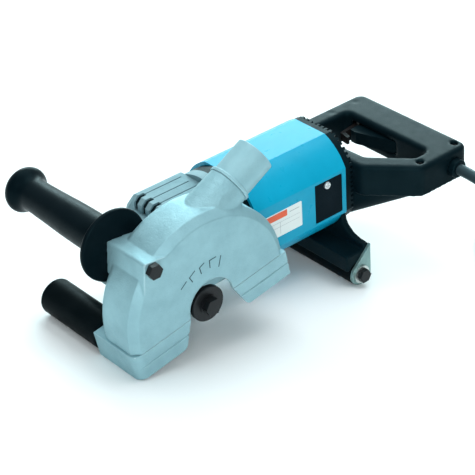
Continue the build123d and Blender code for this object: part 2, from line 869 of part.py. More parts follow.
bracket_front = 204.0
bracket_rear = 210.5
bracket_bottom = -66.0
with BuildPart() as rear_bracket:
    with BuildSketch(across(bracket_front)):
        with BuildLine():
            near = rear_ear_near + ear_thickness
            Line((near, bracket_bottom), (near, -45))
            Spline((near, -45), (-60, -42), (-51, -35), (-47.5, -22), tangents=((1, 0.05), (0.1, 1)))
            Line((-47.5, -22), (rear_ear_far - 1, -22))
            Line((rear_ear_far - 1, -22), (rear_ear_far, -45))
            Line((rear_ear_far, -45), (rear_ear_far, bracket_bottom))
            Line((rear_ear_far, bracket_bottom), (near, bracket_bottom))
        make_face()
    extrude(amount=bracket_rear - bracket_front)
    # skirt over the front of the roller
    with BuildSketch(across(rear_roller_x - rear_roller_radius - 3)):
        with Locations(((rear_ear_near + ear_thickness + rear_ear_far) / 2, (bracket_bottom - 50) / 2)):
            Rectangle(rear_ear_far - rear_ear_near - ear_thickness, -50 - bracket_bottom)
    extrude(amount=bracket_front - rear_roller_x + rear_roller_radius + 3)
    # saddle under the motor housing
    with BuildSketch(across(160)):
        with Locations((0, -50)):
            Rectangle(40, 9)
    extrude(amount=bracket_front - 160)
    with BuildSketch(across(150)):
        housing_section()
    extrude(amount=80, mode=Mode.SUBTRACT)
    with BuildSketch(side(rear_ear_far)):
        with Locations((rear_roller_x, rear_roller_z)):
            Circle(rear_roller_radius + 1)
    extrude(amount=rear_ear_far - rear_ear_near, mode=Mode.SUBTRACT)
    with BuildSketch(Plane.XY.offset(-60)):
        with Locations((172, 0)):
            Circle(3)
    extrude(amount=20, mode=Mode.SUBTRACT)


def ear_outline():
    """Side plate of the rear bracket, from its top corner down round the axle."""
    with BuildLine() as plate:
        Polyline(
            (bracket_rear, -45),
            (bracket_rear, rear_roller_z - 4),
            (rear_roller_x, rear_roller_z - 8),
            (rear_roller_x - 10, rear_roller_z + 6),
            close=True,
        )
    make_face(plate.edges())
    with Locations((rear_roller_x, rear_roller_z)):
        Circle(rear_roller_radius - 0.5)
        Circle(axle_radius, mode=Mode.SUBTRACT)


with BuildPart() as bracket_ears:
    for ear_start in (rear_ear_near + ear_thickness, rear_ear_far + ear_thickness):
        with BuildSketch(side(ear_start)):
            ear_outline()
        extrude(amount=ear_thickness)

with BuildPart() as bracket_screw:
    with BuildSketch(Plane.XY.offset(-54.5)):
        with Locations((172, 0)):
            Circle(5)
            RegularPolygon(2.5, 6, mode=Mode.SUBTRACT)
    extrude(amount=-4)
    with BuildSketch(Plane.XY.offset(-54.5)):
        with Locations((172, 0)):
            Circle(3)
    extrude(amount=5)

# ---- rear of the motor ------------------------------------------------------------------------
ring_rear = housing_rear + ring_length
with BuildPart() as rear_ring:
    with BuildSketch(across(housing_rear)):
        housing_section(1.0)
        Circle(44, mode=Mode.SUBTRACT)
    extrude(amount=ring_length)
    with BuildSketch(across(ring_rear - 3)):
        with PolarLocations(47, 60):
            Rectangle(16, 2.6)
    extrude(amount=3, mode=Mode.SUBTRACT)

with BuildPart() as rear_bearing_spider:
    with BuildSketch(across(213)):
        Circle(44)
        with PolarLocations(29, 6):
            SlotOverall(20, 9, mode=Mode.SUBTRACT)
    extrude(amount=4)
    with BuildSketch(across(213)):
        Circle(15)
    extrude(amount=11)
    with BuildSketch(across(213)):
        Circle(11)
    extrude(amount=9.2, mode=Mode.SUBTRACT)

# ---- rear handle ---------------------------------------------------------------------------------
loop_front = 238.0
flare_rear = 262.0
outer_corner = 9.0
opening_corner = 7.0


def handle_outline(inset):
    """The D-shaped handle in plan, with its finger opening, added to the sketch in hand."""
    with BuildLine() as outer:
        FilletPolyline(
            (ring_rear + inset, handle_far - inset),
            (handle_rear - inset, handle_far - inset),
            (handle_rear - inset, handle_near + inset),
            (259 + 0.4 * inset, handle_near + inset),
            (ring_rear + inset, -58 + 0.6 * inset),
            radius=outer_corner - inset,
            close=True,
        )
    make_face(outer.edges())
    with BuildLine() as opening:
        FilletPolyline(
            (loop_front - 4 - inset, 28 + inset),
            (bar_front + inset, 28 + inset),
            (bar_front + inset, -81 - inset),
            (269 - 0.4 * inset, -81 - inset),
            (loop_front - inset, -46 - 0.6 * inset),
            radius=opening_corner + inset,
            close=True,
        )
    make_face(opening.edges(), mode=Mode.SUBTRACT)


def flare(inset):
    """The root of the handle: from the motor's round section to the flat loop, added to the part in hand."""
    with BuildSketch(across(ring_rear)) as front:
        RectangleRounded(2 * 47 - 2 * inset, 2 * 47 - 2 * inset, 40 - inset)
    with BuildSketch(across(flare_rear)) as rear:
        with Locations(((handle_far + handle_near) / 2, (handle_top + handle_bottom) / 2)):
            RectangleRounded(
                handle_far - handle_near - 2 * inset, handle_top - handle_bottom - 2 * inset, 9 - inset
            )
    loft([front.sketch.face(), rear.sketch.face()])
    with BuildSketch(Plane.XY.offset(-60)) as plan:
        handle_outline(inset)
    extrude(plan.sketch, amount=60 + handle_split, mode=Mode.INTERSECT)


def cut_channel(bottom, top):
    """Hollow inside the handle for the switch and its leads."""
    with BuildSketch(Plane.XY.offset(bottom)) as channel:
        handle_outline(handle_wall)
    extrude(channel.sketch, amount=top - bottom, mode=Mode.SUBTRACT)


slot_near = -38.0
slot_far = 23.0
screw_spots = [(266, -90.5), (313, -89), (304, 37), (273, 37)]
boss_radius = 4.5
screw_radius = 1.8
screw_head = 3.5


def trigger_slot():
    """Slot for the trigger and its lock lever in the front wall of the bar."""
    with Locations((bar_front, (slot_near + slot_far) / 2, handle_split)):
        Box(10, slot_far - slot_near, 15, mode=Mode.SUBTRACT)


def gland_hole():
    """Round hole in the near wall for the cord gland."""
    with BuildSketch(side(handle_near + 8)) as hole:
        with Locations((gland_x, gland_z)):
            Circle(8)
    extrude(hole.sketch, amount=16, mode=Mode.SUBTRACT)


def screw_bosses(bottom, top):
    """Posts round the handle screws, added to the part in hand."""
    with BuildSketch(Plane.XY.offset(bottom)) as posts:
        with Locations(*screw_spots):
            Circle(boss_radius)
    extrude(posts.sketch, amount=top - bottom)
    with BuildSketch(Plane.XY.offset(bottom)) as bores:
        with Locations(*screw_spots):
            Circle(screw_radius)
    extrude(bores.sketch, amount=top - bottom, mode=Mode.SUBTRACT)


with BuildPart() as handle_upper:
    with BuildSketch(Plane.XY.offset(handle_split)):
        handle_outline(0)
    extrude(amount=handle_top - handle_split)
    top_edges = handle_upper.faces().sort_by(Axis.Z)[-1].edges()
    fillet(top_edges, 4)
    cut_channel(handle_split, handle_top - handle_wall)
    screw_bosses(handle_split, handle_top - handle_wall)
    with BuildSketch(Plane.XY.offset(handle_top - 6)):
        with Locations(*screw_spots):
            Circle(screw_head)
    extrude(amount=8, mode=Mode.SUBTRACT)
    with BuildSketch(across(ring_rear - 1)):
        Circle(34)
    extrude(amount=handle_wall + 2, mode=Mode.SUBTRACT)
    trigger_slot()
    gland_hole()

with BuildPart() as flare_core:
    flare(handle_wall)

with BuildPart() as handle_lower:
    flare(0)
    with BuildSketch(Plane.XY.offset(handle_bottom)):
        handle_outline(0)
    extrude(amount=handle_split - handle_bottom)
    add(flare_core.part, mode=Mode.SUBTRACT)
    cut_channel(handle_bottom + handle_wall, handle_split)
    screw_bosses(handle_bottom + handle_wall, handle_split)
    with BuildSketch(across(ring_rear - 1)):
        Circle(34)
    extrude(amount=handle_wall + 2, mode=Mode.SUBTRACT)
    trigger_slot()
    gland_hole()

with BuildPart() as handle_screws:
    with BuildSketch(Plane.XY.offset(handle_top - 3)):
        with Locations(*screw_spots):
            Circle(screw_head)
            RegularPolygon(1.6, 6, mode=Mode.SUBTRACT)
    extrude(amount=-3)
    with BuildSketch(Plane.XY.offset(handle_top - 6)):
        with Locations(*screw_spots):
            Circle(screw_radius)
    extrude(amount=handle_bottom + handle_wall - handle_top + 6)

with BuildPart() as switch_body:
    with Locations((304, -8, handle_split)):
        Box(16, 46, 22)

pivot_x = 291.5
pivot_y = -34.0
pin_radius = 1.5
trigger_far = 12.0
trigger_height = 13.0
with BuildPart() as trigger:
    with BuildSketch(Plane.XY.offset(handle_split - trigger_height / 2)):
        with BuildLine():
            FilletPolyline(
                (pivot_x - 4, pivot_y - 2.5),
                (bar_front - 12, trigger_far - 8),
                (bar_front - 12, trigger_far),
                (bar_front - 2, trigger_far + 1),
                (pivot_x - 1, trigger_far - 4),
                (pivot_x + 2.5, pivot_y - 2.5),
                radius=1.5,
                close=True,
            )
        make_face()
        with Locations((pivot_x, pivot_y)):
            Circle(pin_radius + running, mode=Mode.SUBTRACT)
    extrude(amount=trigger_height)

lever_x = 291.0
lever_y = 19.0
lever_height = 8.0
with BuildPart() as lock_lever:
    with BuildSketch(Plane.XY.offset(handle_split - lever_height / 2)):
        with BuildLine():
            FilletPolyline(
                (lever_x + 2.6, lever_y + 2.6),
                (lever_x - 2.6, lever_y + 2.6),
                (bar_front - 20, trigger_far + 6),
                (bar_front - 22, trigger_far - 6),
                (bar_front - 18.5, trigger_far - 6),
                (bar_front - 15.5, trigger_far + 3.6),
                (lever_x + 2.6, lever_y - 2.6),
                radius=1.2,
                close=True,
            )
        make_face()
        with Locations((lever_x, lever_y)):
            Circle(pin_radius + running, mode=Mode.SUBTRACT)
    extrude(amount=lever_height)

with BuildPart() as handle_pins:
    with BuildSketch(Plane.XY.offset(handle_bottom + handle_wall)):
        with Locations((pivot_x, pivot_y), (lever_x, lever_y)):
            Circle(pin_radius)
    extrude(amount=handle_top - handle_bottom - 2 * handle_wall)

with BuildPart() as cord_gland:
    with BuildSketch(side(handle_near + 6)):
        with Locations((gland_x, gland_z)):
            Circle(8)
            Circle(core_radius, mode=Mode.SUBTRACT)
    extrude(amount=9)
    with BuildSketch(side(handle_near - 0.5)):
        with Locations((gland_x, gland_z)):
            Circle(9)
            Circle(core_radius, mode=Mode.SUBTRACT)
    extrude(amount=6.5)
    fillet(cord_gland.faces().sort_by(Axis.Y)[0].edges().sort_by(SortBy.LENGTH)[-1:], 1.5)
    with BuildSketch(side(handle_near + 6)):
        with Locations((gland_x, gland_z)):
            Circle(9.5)
            Circle(core_radius, mode=Mode.SUBTRACT)
    extrude(amount=-1.4)

# ---- stance -------------------------------------------------------------------------------------
# Both rollers touch the floor, which sets how far the motor axis is tipped up at the back.
roller_run = rear_roller_x - front_roller_x
roller_drop = front_roller_z - rear_roller_z
roller_span = hypot(roller_run, roller_drop)
tip = atan2(roller_drop, roller_run) - asin((front_roller_radius - rear_roller_radius) / roller_span)
lift = front_roller_radius - front_roller_x * sin(tip) - front_roller_z * cos(tip)
middle_x = 110.54            # middle of the machine's plan, without its cord
middle_y = -9.8
stance = Location((-middle_x, -middle_y, lift), (0, -degrees(tip), 0))
print(f"tip {degrees(tip):.3f} degrees, spindle axis {lift:.3f} mm above the floor")

machine = {
    "motor_housing": motor_housing,
    "brush_cover_near": brush_cover_near,
    "brush_cover_far": brush_cover_far,
    "brush_cover_screws": brush_cover_screws,
    "rating_plate": rating_plate,
    "stator": stator,
    "brush_holders": brush_holders,
    "carbon_brushes": carbon_brushes,
    "brush_springs": brush_springs,
    "armature_shaft": armature_shaft,
    "armature_core": armature_core,
    "armature_windings": armature_windings,
    "commutator": commutator,
    "cooling_fan": cooling_fan,
    "armature_bearing_front": armature_bearing_front,
    "armature_bearing_rear": armature_bearing_rear,
    "pinion": pinion,
    "bevel_gear": bevel_gear,
    "spindle": spindle,
    "inner_flange": inner_flange,
    "outer_flange": outer_flange,
    "clamp_bolt": clamp_bolt,
    "spindle_bearing": spindle_bearing,
    "spindle_bush": spindle_bush,
    "bearing_box": bearing_box,
    "bearing_box_screws": bearing_box_screws,
    "gear_housing": gear_housing,
    "shaft_lock": shaft_lock,
    "shaft_lock_spring": shaft_lock_spring,
    "adapter_ring": adapter_ring,
    "guard_shell": guard_shell,
    "front_foot": front_foot,
    "rear_foot": rear_foot,
    "dust_nozzle": dust_nozzle,
    "grip_flange": grip_flange,
    "side_grip": side_grip,
    "grip_bolt": grip_bolt,
    "front_roller": front_roller,
    "front_roller_axle": front_roller_axle,
    "rear_roller": rear_roller,
    "rear_axle_bolt": rear_axle_bolt,
    "rear_axle_washers": rear_axle_washers,
    "rear_axle_nut": rear_axle_nut,
    "rear_bracket": rear_bracket,
    "bracket_ears": bracket_ears,
    "bracket_screw": bracket_screw,
    "rear_ring": rear_ring,
    "rear_bearing_spider": rear_bearing_spider,
    "handle_upper": handle_upper,
    "handle_lower": handle_lower,
    "handle_screws": handle_screws,
    "switch_body": switch_body,
    "trigger": trigger,
    "lock_lever": lock_lever,
    "handle_pins": handle_pins,
    "cord_gland": cord_gland,
}
for piece in machine.values():
    piece.part = piece.part.moved(stance)

# ---- supply cord ----------------------------------------------------------------------------------
# Laid out where it rests on the floor: it drops from the handle in one loose bend, and the rest of
# its 2.5 m is wound into a tied coil of six turns, in two layers, with the plug resting on top.
cord_route = [
    (186.82, -97.2, 107.66),
    (186.86, -139.2, 107.6),
    (188.6, -172.2, 84.0),
    (201.2, -187.5, 45.0),
    (232.0, -197.5, 20.4),
    (283.0, -202.0, 5.5),
    (318.9, -197.6, 5.5),
]
coil_x = 301.0
coil_y = -131.0
coil_mean = 58.0
coil_wide = 3                # turns side by side
coil_high = 2                # layers
cord_width = 2 * cord_radius
coil_top = coil_high * cord_width
last_turn_from = -62.0       # the last part of the cord lies on top, between these angles
last_turn_to = 0.0
last_turn_z = coil_top + cord_radius - 0.5
tie_angle = 115.0
tie_width = 9.0
tie_thickness = 1.2

radii = []
for before, corner, after in zip(cord_route, cord_route[1:], cord_route[2:]):
    run_in = Vector(*corner) - Vector(*before)
    run_out = Vector(*after) - Vector(*corner)
    half_turn = radians(run_in.get_angle(run_out)) / 2
    radii.append(0.45 * min(run_in.length, run_out.length) / tan(half_turn))
print("cord radii", [round(radius, 1) for radius in radii])

with BuildPart() as cord:
    with BuildLine() as cord_path:
        FilletPolyline(*cord_route, radius=radii)
    cord_wire = cord_path.wire()
    with BuildSketch(Plane(origin=cord_wire @ 0, z_dir=cord_wire % 0)):
        Circle(cord_radius)
    sweep(path=cord_wire)
print(f"cord tube {cord_wire.length:.1f} mm, {cord.part.volume / (pi * cord_radius**2):.1f} by volume")

coil_axis = Axis((coil_x, coil_y, 0), (0, 0, 1))
tie_turn = radians(tie_angle)
with BuildPart() as cord_tie:
    tie_plane = Plane(
        (coil_x + coil_mean * cos(tie_turn), coil_y + coil_mean * sin(tie_turn), coil_top / 2),
        x_dir=(cos(tie_turn), sin(tie_turn), 0),
        z_dir=(sin(tie_turn), -cos(tie_turn), 0),
    )
    with BuildSketch(tie_plane):
        with Locations((0, tie_thickness / 2)):
            RectangleRounded(coil_wide * cord_width + 2 * tie_thickness, coil_top + tie_thickness, 5)
        RectangleRounded(coil_wide * cord_width, coil_top - 2 * tie_thickness, 4.5, mode=Mode.SUBTRACT)
    extrude(amount=tie_width / 2, both=True)

with BuildPart() as cord_coil:
    with BuildSketch(Plane((coil_x, coil_y, 0), x_dir=(1, 0, 0), z_dir=(0, -1, 0))):
        with Locations((coil_mean, coil_top / 2)):
            RectangleRounded(coil_wide * cord_width, coil_top, 5)
    revolve(axis=coil_axis)
    start_turn = radians(last_turn_from)
    start_plane = Plane(
        (coil_x, coil_y, 0),
        x_dir=(cos(start_turn), sin(start_turn), 0),
        z_dir=(sin(start_turn), -cos(start_turn), 0),
    )
    with BuildSketch(start_plane):
        with Locations((coil_mean, last_turn_z)):
            Circle(cord_radius)
    revolve(axis=coil_axis, revolution_arc=last_turn_to - last_turn_from)
    add(cord_tie.part, mode=Mode.SUBTRACT)

plug_tail = 30.0
plug_grip = 62.0
plug_face = 75.0
pin_length = 19.0
pin_spread = 9.5
plug_radius = 18.0
end_turn = radians(last_turn_to)
plug_heading = radians(last_turn_to + 90)
plug_pitch = radians(12)
with BuildPart() as plug:
    plug_plane = Plane(
        (
            coil_x + coil_mean * cos(end_turn) + 0.5 * cos(plug_heading),
            coil_y + coil_mean * sin(end_turn) + 0.5 * sin(plug_heading),
            last_turn_z,
        ),
        x_dir=(-sin(plug_heading), cos(plug_heading), 0),
        z_dir=(cos(plug_heading) * cos(plug_pitch), sin(plug_heading) * cos(plug_pitch), sin(plug_pitch)),
    )
    side_plane = Plane(plug_plane.origin, x_dir=plug_plane.z_dir, z_dir=plug_plane.y_dir)
    with BuildSketch(side_plane):
        with BuildLine():
            Polyline((0, 0), (0, cord_radius + 1), (plug_tail, cord_radius + 2.5), (plug_tail, 9))
            Spline(
                (plug_tail, 9),
                (plug_tail + 14, 12),
                (plug_grip, plug_radius - 1),
                tangents=((1, 0.1), (1, 0.3)),
            )
            Polyline(
                (plug_grip, plug_radius - 1),
                (plug_grip, plug_radius),
                (plug_face, plug_radius),
                (plug_face, 0),
                (0, 0),
            )
        make_face()
    revolve(axis=Axis(plug_plane.origin, plug_plane.z_dir))
    for offset in (-pin_spread, pin_spread):
        with BuildSketch(plug_plane.offset(plug_face)):
            with Locations((offset, 0)):
                Circle(2.4)
        extrude(amount=pin_length)

machine["cord"] = cord
machine["cord_coil"] = cord_coil
machine["cord_tie"] = cord_tie
machine["plug"] = plug
for name, piece in machine.items():
    piece.part.label = name
    export_step(piece.part, f"parts/{name}.step")
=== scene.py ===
import json
from math import cos, pi, radians, sin

import bmesh
import bpy
from mathutils import Matrix, Vector


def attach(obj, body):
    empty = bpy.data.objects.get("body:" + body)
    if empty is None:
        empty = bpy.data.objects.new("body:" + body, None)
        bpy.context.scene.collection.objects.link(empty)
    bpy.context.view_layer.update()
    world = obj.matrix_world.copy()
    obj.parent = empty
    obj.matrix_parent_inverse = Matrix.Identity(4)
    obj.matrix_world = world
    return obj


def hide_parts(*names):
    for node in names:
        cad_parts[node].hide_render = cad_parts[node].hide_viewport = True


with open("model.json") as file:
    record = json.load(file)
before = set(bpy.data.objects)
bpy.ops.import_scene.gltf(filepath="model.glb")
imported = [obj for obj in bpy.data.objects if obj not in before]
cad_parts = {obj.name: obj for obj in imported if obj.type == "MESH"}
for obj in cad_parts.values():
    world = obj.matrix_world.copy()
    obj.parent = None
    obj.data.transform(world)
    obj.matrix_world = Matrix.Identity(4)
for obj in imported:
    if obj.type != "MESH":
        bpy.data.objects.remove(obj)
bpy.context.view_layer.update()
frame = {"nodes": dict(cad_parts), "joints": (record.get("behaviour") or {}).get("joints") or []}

MM = 0.001
nodes = frame["nodes"]
joints = {joint["name"]: joint for joint in frame["joints"]}

# ---- the machine's own frame --------------------------------------------------------------------
# X runs back along the motor axis, Y to the side grip, Z up from it; the spindle is at the origin.
# Shapes are drawn there in millimetres and carried over with this matrix.
motor_axis = Vector(joints["armature_spin"]["axis"]).normalized()
up_axis = motor_axis.cross(Vector((0, 1, 0)))
SPINDLE_JOINT_Y = -30 * MM
spindle = Vector(joints["spindle_spin"]["pos_m"]) - Vector((0, SPINDLE_JOINT_Y, 0))
machine = Matrix.Translation(spindle) @ Matrix(
    (
        (motor_axis.x, 0, up_axis.x, 0),
        (motor_axis.y, 1, up_axis.y, 0),
        (motor_axis.z, 0, up_axis.z, 0),
        (0, 0, 0, 1),
    )
)


def at(x, y, z):
    """A point of the machine's own frame, given in millimetres, in the row frame."""
    return machine @ (Vector((x, y, z)) * MM)


# ---- camera -------------------------------------------------------------------------------------
eye = Vector((-1.00074, -1.0956, 0.8077))
azimuth = radians(-42.406)
elevation = radians(27.120)
roll = radians(3.940)
back = Vector((sin(azimuth) * cos(elevation), -cos(azimuth) * cos(elevation), sin(elevation)))
level_right = Vector((cos(azimuth), sin(azimuth), 0))
level_up = back.cross(level_right)
right = level_right * cos(roll) + level_up * sin(roll)
up = level_up * cos(roll) - level_right * sin(roll)
camera_data = bpy.data.cameras.new("camera")
camera_data.sensor_width = 36
camera_data.lens = 136.42
camera_data.clip_end = 20
camera = bpy.data.objects.new("camera", camera_data)
bpy.context.scene.collection.objects.link(camera)
camera.matrix_world = Matrix.Translation(eye) @ Matrix((right, up, back)).transposed().to_4x4()
bpy.context.scene.camera = camera


# ---- materials ----------------------------------------------------------------------------------
def material(name, color, roughness, metallic=0.0):
    """A principled material with its node tree, ready for texture detail."""
    made = bpy.data.materials.new(name)
    made.use_nodes = True
    shader = made.node_tree.nodes["Principled BSDF"]
    shader.inputs["Base Color"].default_value = (*color, 1)
    shader.inputs["Roughness"].default_value = roughness
    shader.inputs["Metallic"].default_value = metallic
    return made


def shader_of(made):
    return made.node_tree.nodes["Principled BSDF"]


def noise(made, scale, detail=3.0, stretch=(1, 1, 1)):
    """A noise texture in the piece's own space, in features per metre."""
    tree = made.node_tree
    place = tree.nodes.new("ShaderNodeTexCoord")
    mapping = tree.nodes.new("ShaderNodeMapping")
    mapping.inputs["Scale"].default_value = stretch
    texture = tree.nodes.new("ShaderNodeTexNoise")
    texture.inputs["Scale"].default_value = scale
    texture.inputs["Detail"].default_value = detail
    tree.links.new(place.outputs["Object"], mapping.inputs["Vector"])
    tree.links.new(mapping.outputs["Vector"], texture.inputs["Vector"])
    return texture.outputs["Fac"]


def ramp(made, value, low, high):
    """Maps a value to a range, as a factor or a roughness."""
    node = made.node_tree.nodes.new("ShaderNodeMapRange")
    node.inputs["From Min"].default_value = 0.3
    node.inputs["From Max"].default_value = 0.7
    node.inputs["To Min"].default_value = low
    node.inputs["To Max"].default_value = high
    made.node_tree.links.new(value, node.inputs["Value"])
    return node.outputs["Result"]


def tint(made, factor, color_a, color_b):
    """Mixes two colours by a factor into the base colour."""
    mix = made.node_tree.nodes.new("ShaderNodeMix")
    mix.data_type = "RGBA"
    mix.inputs["A"].default_value = (*color_a, 1)
    mix.inputs["B"].default_value = (*color_b, 1)
    made.node_tree.links.new(factor, mix.inputs["Factor"])
    made.node_tree.links.new(mix.outputs["Result"], shader_of(made).inputs["Base Color"])
    return mix.outputs["Result"]


def bump(made, height, depth, strength=1.0):
    """Adds a bump of a depth in metres on top of what the material has."""
    node = made.node_tree.nodes.new("ShaderNodeBump")
    node.inputs["Strength"].default_value = strength
    node.inputs["Distance"].default_value = depth
    made.node_tree.links.new(height, node.inputs["Height"])
    normal = shader_of(made).inputs["Normal"]
    if normal.is_linked:
        made.node_tree.links.new(normal.links[0].from_socket, node.inputs["Normal"])
    made.node_tree.links.new(node.outputs["Normal"], normal)


def edge_wear(made, factor, color, share):
    """Lightens the base colour along convex edges."""
    tree = made.node_tree
    geometry = tree.nodes.new("ShaderNodeNewGeometry")
    worn = tree.nodes.new("ShaderNodeMapRange")
    worn.inputs["From Min"].default_value = 0.52
    worn.inputs["From Max"].default_value = 0.62
    worn.inputs["To Max"].default_value = share
    tree.links.new(geometry.outputs["Pointiness"], worn.inputs["Value"])
    mix = tree.nodes.new("ShaderNodeMix")
    mix.data_type = "RGBA"
    mix.inputs["B"].default_value = (*color, 1)
    tree.links.new(worn.outputs["Result"], mix.inputs["Factor"])
    tree.links.new(factor, mix.inputs["A"])
    tree.links.new(mix.outputs["Result"], shader_of(made).inputs["Base Color"])


def cast_alloy(name, light, dark, roughness, grain, metallic=0.35, shine=0.5, wear=0.7):
    """Sprayed aluminium casting: mottled, with a fine sandy skin."""
    made = material(name, light, roughness, metallic)
    shader_of(made).inputs["Specular IOR Level"].default_value = shine
    shader_of(made).inputs["Specular Tint"].default_value = (0.72, 0.95, 1.0, 1)
    base = tint(made, ramp(made, noise(made, 60), 0, 1), light, dark)
    edge_wear(made, base, (0.80, 0.90, 0.92), wear)
    made.node_tree.links.new(
        ramp(made, noise(made, 180), roughness - 0.06, roughness + 0.08),
        shader_of(made).inputs["Roughness"],
    )
    bump(made, noise(made, 1000, 4), 2 * grain)
    bump(made, noise(made, 220, 2), 2.5 * grain)
    return made


def plastic(name, color, roughness, grain, variation=0.25, shine=0.12):
    """Moulded plastic or rubber with a fine texture and slightly uneven gloss."""
    made = material(name, color, roughness)
    shader_of(made).inputs["Specular IOR Level"].default_value = shine
    shader_of(made).inputs["Specular Tint"].default_value = (0.42, 0.90, 1.0, 1)
    lighter = [min(1, value * (1 + variation) + 0.002) for value in color]
    tint(made, ramp(made, noise(made, 45), 0, 1), color, lighter)
    made.node_tree.links.new(
        ramp(made, noise(made, 120), roughness - 0.05, roughness + 0.06),
        shader_of(made).inputs["Roughness"],
    )
    bump(made, noise(made, 2600, 2), grain)
    return made


def steel(name, color, roughness, stretch=(1, 1, 1), metallic=1.0, grain=0.00002):
    """Turned, ground or plated metal with fine streaks."""
    made = material(name, color, roughness, metallic)
    darker = [value * 0.75 for value in color]
    tint(made, ramp(made, noise(made, 90, 4), 0, 1), color, darker)
    made.node_tree.links.new(
        ramp(made, noise(made, 900, 3, stretch), roughness - 0.08, roughness + 0.1),
        shader_of(made).inputs["Roughness"],
    )
    bump(made, noise(made, 900, 3, stretch), grain)
    return made


ALLOY = cast_alloy("cast_alloy", (0.30, 0.50, 0.55), (0.25, 0.43, 0.48), 0.44, 0.00016)
ALLOY_FINE = cast_alloy(
    "cast_alloy_fine", (0.31, 0.51, 0.56), (0.27, 0.46, 0.51), 0.48, 0.00008, metallic=0.25
)
ALLOY_DULL = cast_alloy(
    "cast_alloy_dull",
    (0.21, 0.35, 0.39),
    (0.18, 0.30, 0.34),
    0.60,
    0.00009,
    metallic=0.1,
    shine=0.15,
    wear=0.1,
)
BLUE = plastic("blue_housing", (0.001, 0.325, 0.510), 0.32, 0.00002, 0.08, 0.35)
BLACK = plastic("black_plastic", (0.0015, 0.007, 0.010), 0.40, 0.00005, shine=0.07)
PANEL = plastic("dark_panel", (0.002, 0.006, 0.010), 0.50, 0.00005, shine=0.05)
LEVER = plastic("lever_plastic", (0.010, 0.007, 0.007), 0.40, 0.00003)
RUBBER = plastic("cord_rubber", (0.022, 0.034, 0.039), 0.44, 0.00003, shine=0.3)
GRIP = plastic("grip_plastic", (0.001, 0.004, 0.006), 0.36, 0.00004, shine=0.06)
ROLLER = plastic("roller_plastic", (0.001, 0.003, 0.004), 0.44, 0.00004, shine=0.03)
ZINC = steel("zinc_steel", (0.62, 0.66, 0.64), 0.38, grain=0.00005)
EAR_STEEL = steel("ear_steel", (0.27, 0.42, 0.41), 0.46, metallic=0.7, grain=0.00005)
DARK_STEEL = steel("black_steel", (0.010, 0.012, 0.014), 0.42, metallic=0.5, grain=0.00003)
GROUND = steel("ground_steel", (0.50, 0.52, 0.53), 0.28, (1, 30, 1))
CORE = steel("core_steel", (0.20, 0.20, 0.21), 0.50, (60, 1, 1))
COPPER = steel("copper", (0.70, 0.30, 0.14), 0.34, (1, 12, 12))
BRONZE = steel("sintered_bronze", (0.52, 0.36, 0.18), 0.55, grain=0.00006)
CARBON = plastic("carbon", (0.03, 0.03, 0.032), 0.70, 0.00006)
SCREW_WHITE = steel("bright_screw", (0.85, 0.88, 0.88), 0.35, metallic=0.8)


def label_material():
    """Printed foil: white, with one coloured band and ruled grey fields, without lettering."""
    made = material("plate_foil", (0.80, 0.84, 0.82), 0.38)
    tree = made.node_tree
    place = tree.nodes.new("ShaderNodeTexCoord")
    turned = tree.nodes.new("ShaderNodeMapping")
    turned.vector_type = "TEXTURE"
    turned.inputs["Location"].default_value = machine.translation
    turned.inputs["Rotation"].default_value = machine.to_euler()
    tree.links.new(place.outputs["Object"], turned.inputs["Vector"])
    split = tree.nodes.new("ShaderNodeSeparateXYZ")
    tree.links.new(turned.outputs["Vector"], split.inputs["Vector"])

    def between(socket, low, high):
        above = tree.nodes.new("ShaderNodeMath")
        above.operation = "GREATER_THAN"
        above.inputs[1].default_value = low * MM
        below = tree.nodes.new("ShaderNodeMath")
        below.operation = "LESS_THAN"
        below.inputs[1].default_value = high * MM
        both = tree.nodes.new("ShaderNodeMath")
        both.operation = "MULTIPLY"
        tree.links.new(socket, above.inputs[0])
        tree.links.new(socket, below.inputs[0])
        tree.links.new(above.outputs[0], both.inputs[0])
        tree.links.new(below.outputs[0], both.inputs[1])
        return both.outputs[0]

    def field(low_x, high_x, low_z, high_z):
        both = tree.nodes.new("ShaderNodeMath")
        both.operation = "MULTIPLY"
        tree.links.new(between(split.outputs["X"], low_x, high_x), both.inputs[0])
        tree.links.new(between(split.outputs["Z"], low_z, high_z), both.inputs[1])
        return both.outputs[0]

    color = None
    for area, paint in (
        (field(108, 137, 5.5, 12.2), (0.85, 0.11, 0.03, 1)),
        (field(140, 152, 7.6, 8.3), (0.35, 0.38, 0.38, 1)),
        (field(112, 152, 1.6, 2.0), (0.45, 0.48, 0.48, 1)),
        (field(112, 152, -3.2, -2.8), (0.45, 0.48, 0.48, 1)),
        (field(128, 128.5, -10.5, 2.0), (0.45, 0.48, 0.48, 1)),
    ):
        mix = tree.nodes.new("ShaderNodeMix")
        mix.data_type = "RGBA"
        mix.inputs["A"].default_value = (0.80, 0.84, 0.82, 1)
        mix.inputs["B"].default_value = paint
        tree.links.new(area, mix.inputs["Factor"])
        if color is not None:
            tree.links.new(color, mix.inputs["A"])
        color = mix.outputs["Result"]
    tree.links.new(color, shader_of(made).inputs["Base Color"])
    bump(made, noise(made, 800), 0.00001)
    return made


LABEL = label_material()
SHADE = plastic("recess_shade", (0.045, 0.085, 0.10), 0.6, 0.00003)

